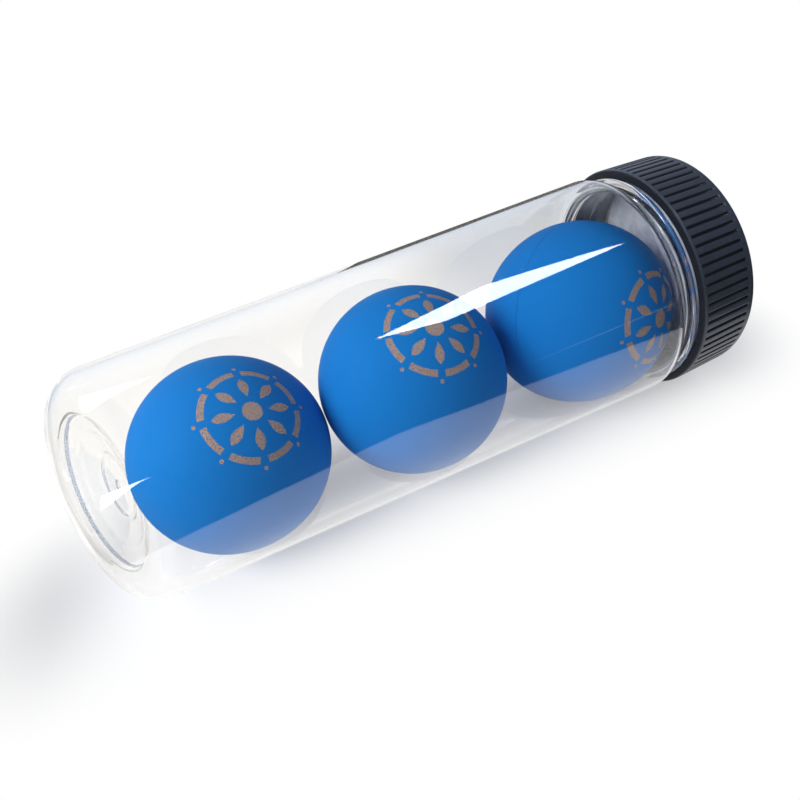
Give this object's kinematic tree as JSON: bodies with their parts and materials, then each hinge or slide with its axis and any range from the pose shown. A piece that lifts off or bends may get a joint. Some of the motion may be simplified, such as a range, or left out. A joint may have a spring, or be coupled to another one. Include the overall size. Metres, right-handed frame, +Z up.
{
  "type": "racquetball canister",
  "caption": "Clear plastic screw-top jar lying on its side, holding hollow rubber racquetballs moulded in half shells, with a ribbed black cap and a foam liner.",
  "frame": {"origin": "on the surface the jar lies on, under the middle of its whole length with the cap on", "axes": "+X along the jar from its base to its cap, +Z up, +Y away from the picture's viewer"},
  "size_m": [0.1856, 0.0696, 0.0696],
  "materials": {
    "clear_plastic": "clear glossy blow-moulded plastic",
    "cap_plastic": "satin black moulded plastic, finely ribbed",
    "liner_foam": "matt grey foam disc",
    "ball_rubber": null,
    "bond_cement": "thin dark cement film"
  },
  "bodies": {
    "jar": {"jar": "clear_plastic"},
    "ball_1": {"ball_1_half_a": "ball_rubber", "ball_1_half_b": "ball_rubber", "ball_1_bond": "bond_cement"},
    "ball_2": {"ball_2_half_a": "ball_rubber", "ball_2_half_b": "ball_rubber", "ball_2_bond": "bond_cement"},
    "ball_3": {"ball_3_half_a": "ball_rubber", "ball_3_half_b": "ball_rubber", "ball_3_bond": "bond_cement"},
    "liner": {"cap_liner": "liner_foam"},
    "cap": {"screw_cap": "cap_plastic"}
  },
  "joints": [
    {"name": "cap_lift", "type": "slide", "parent": "jar", "child": "liner", "axis": [1, 0, 0], "range_m": [0, 0.01693]},
    {"name": "cap_turn", "type": "hinge", "parent": "liner", "child": "cap", "pos_m": [0.0757, 0, 0.0348], "axis": [1, 0, 0], "range_deg": [0, 1440]},
    {"name": "ball_1_roll", "type": "hinge", "parent": "jar", "child": "ball_1", "pos_m": [-0.05713, 0, 0.0348], "axis": [1, 0, 0], "continuous": true},
    {"name": "ball_2_roll", "type": "hinge", "parent": "jar", "child": "ball_2", "pos_m": [0.00022, 0, 0.0348], "axis": [1, 0, 0], "continuous": true},
    {"name": "ball_3_roll", "type": "hinge", "parent": "jar", "child": "ball_3", "pos_m": [0.05757, 0, 0.0348], "axis": [1, 0, 0], "continuous": true}
  ],
  "couplings": [
    {"joint": "cap_lift", "follows": "cap_turn", "m_per_rad": 0.0006737}
  ]
}
